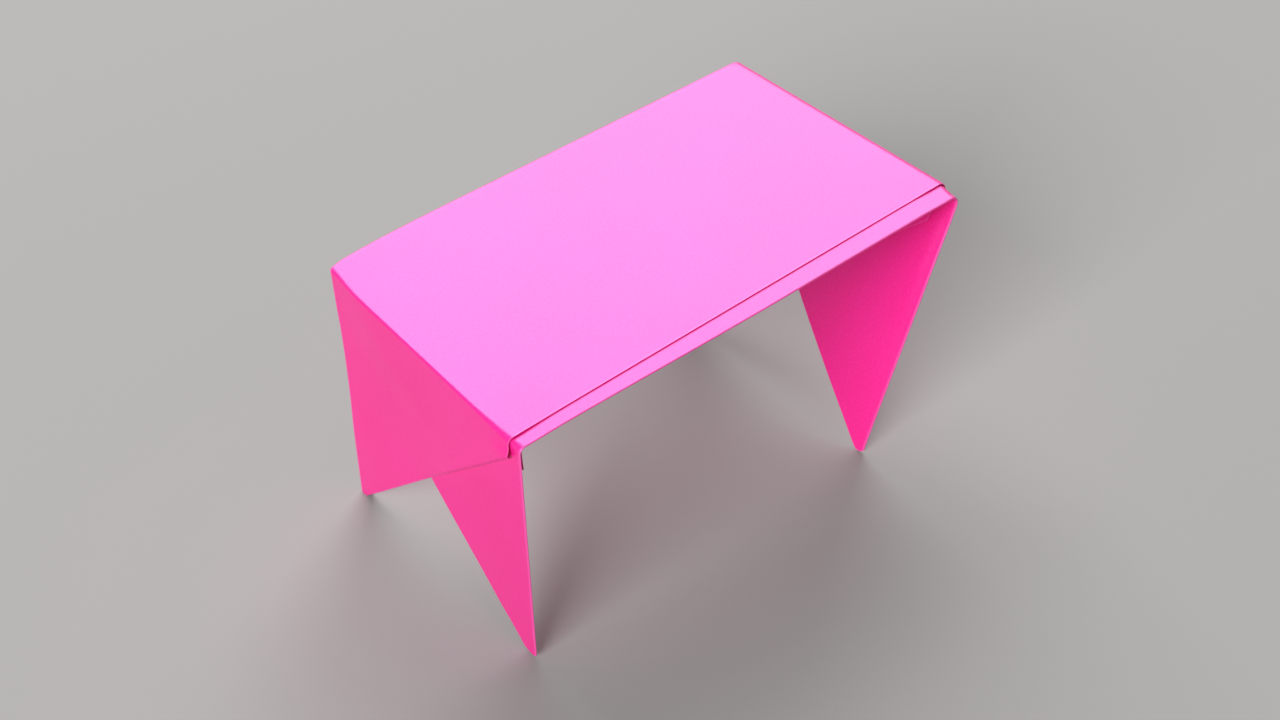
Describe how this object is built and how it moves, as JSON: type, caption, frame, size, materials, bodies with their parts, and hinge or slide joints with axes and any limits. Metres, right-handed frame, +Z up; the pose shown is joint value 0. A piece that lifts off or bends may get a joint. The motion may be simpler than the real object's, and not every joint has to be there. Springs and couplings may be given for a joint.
{
  "type": "origami table",
  "caption": "Folded paper table with an oblong top and pointed legs that cross at each end, made of long folded sheets slipped into each other.",
  "frame": {"origin": "centre of the bounding box at the floor", "axes": "+X along the top, from the upright legs to the leaning legs; +Y towards the outer sheet's long fold; +Z up"},
  "size_m": [0.0704, 0.0406, 0.0398],
  "materials": {
    "pink_paper": "bright pink craft paper, matt with a faint sheen, the same on both sides"
  },
  "bodies": {
    "root": {"outer_sheet": "pink_paper", "inner_sheet": "pink_paper"}
  },
  "joints": []
}
